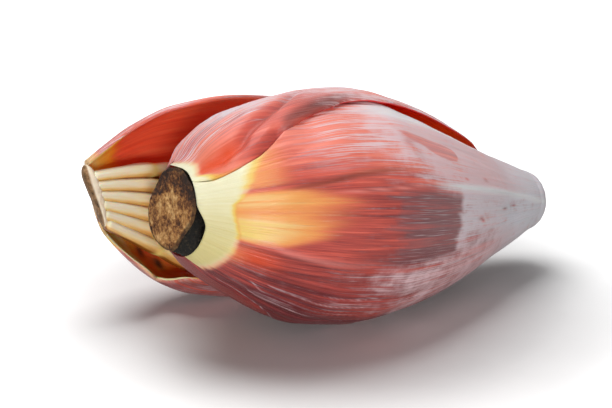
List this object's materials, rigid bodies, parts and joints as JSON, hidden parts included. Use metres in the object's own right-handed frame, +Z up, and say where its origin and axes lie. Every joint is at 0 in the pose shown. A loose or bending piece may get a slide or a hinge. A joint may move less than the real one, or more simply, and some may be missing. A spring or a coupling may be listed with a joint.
{
  "type": "banana blossom",
  "caption": "Cut banana flower bud lying on its side, with overlapping bracts, a brown stem stub, and one loose outer bract behind it holding its hand of florets.",
  "frame": {"origin": "middle of the footprint, on the surface the blossom lies on", "axes": "+X along the bud from its cut stem to its nose, +Z up, -Y towards the side that shows the full front bract"},
  "size_m": [0.2244, 0.1368, 0.1125],
  "materials": {
    "cut_stem": "dried, browned and fibrous cut face, nearly black round its rim",
    "bract_red": "satin fleshy leaf, cream at the base over orange to salmon and maroon, ribbed, with a rubbed grey-lilac bloom",
    "bract_inner": "smooth, slightly glossy paler red, cream towards the core",
    "floret_cream": "waxy cream, yellower at the joint and towards the tip"
  },
  "bodies": {
    "root": {"peduncle": "cut_stem", "front_bract": "bract_red", "back_bract": "bract_red", "inner_bract_1": "bract_inner", "inner_bract_2": "bract_inner", "bud_heart": "bract_inner", "loose_bract": "bract_red", "floret_cushion": "cut_stem", "floret_front_1": "floret_cream", "floret_front_2": "floret_cream", "floret_front_3": "floret_cream", "floret_front_4": "floret_cream", "floret_front_5": "floret_cream", "floret_front_6": "floret_cream", "floret_rear_1": "floret_cream", "floret_rear_2": "floret_cream", "floret_rear_3": "floret_cream", "floret_rear_4": "floret_cream", "floret_rear_5": "floret_cream"}
  },
  "joints": []
}
